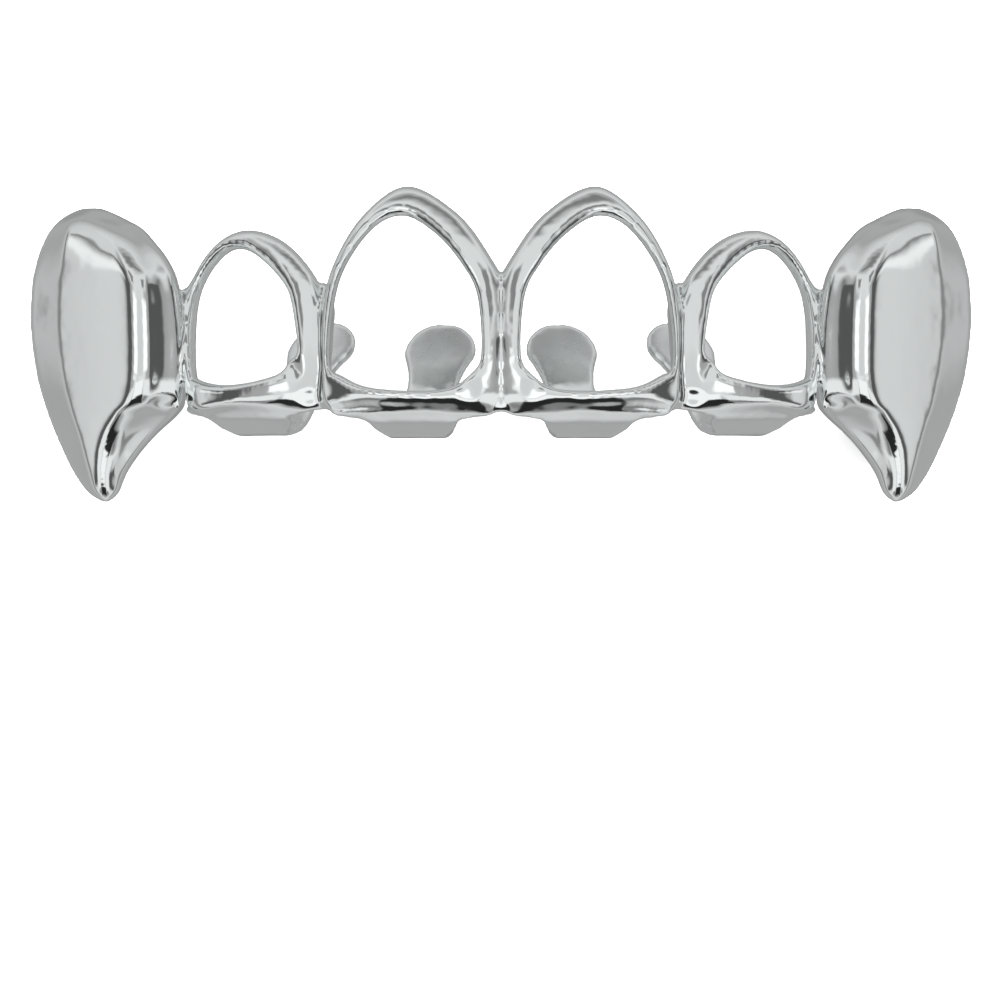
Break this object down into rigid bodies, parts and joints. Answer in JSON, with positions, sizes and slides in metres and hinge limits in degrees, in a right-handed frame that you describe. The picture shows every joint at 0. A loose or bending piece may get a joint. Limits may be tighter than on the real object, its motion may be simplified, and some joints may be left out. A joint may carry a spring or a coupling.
{
  "type": "grillz tooth cover",
  "caption": "Slip-on upper tooth cover in bright metal: open frames over the front teeth with holding tabs behind, between two hollow caps with long fangs.",
  "frame": {"origin": "centre of the row's bounding box, on the surface it lies on", "axes": "+X across the row, +Y towards the gum, +Z out of the teeth's faces"},
  "size_m": [0.0466, 0.0154, 0.0129],
  "materials": {
    "plating": "mirror polished"
  },
  "bodies": {
    "root": {"upper_row": "plating"}
  },
  "joints": []
}
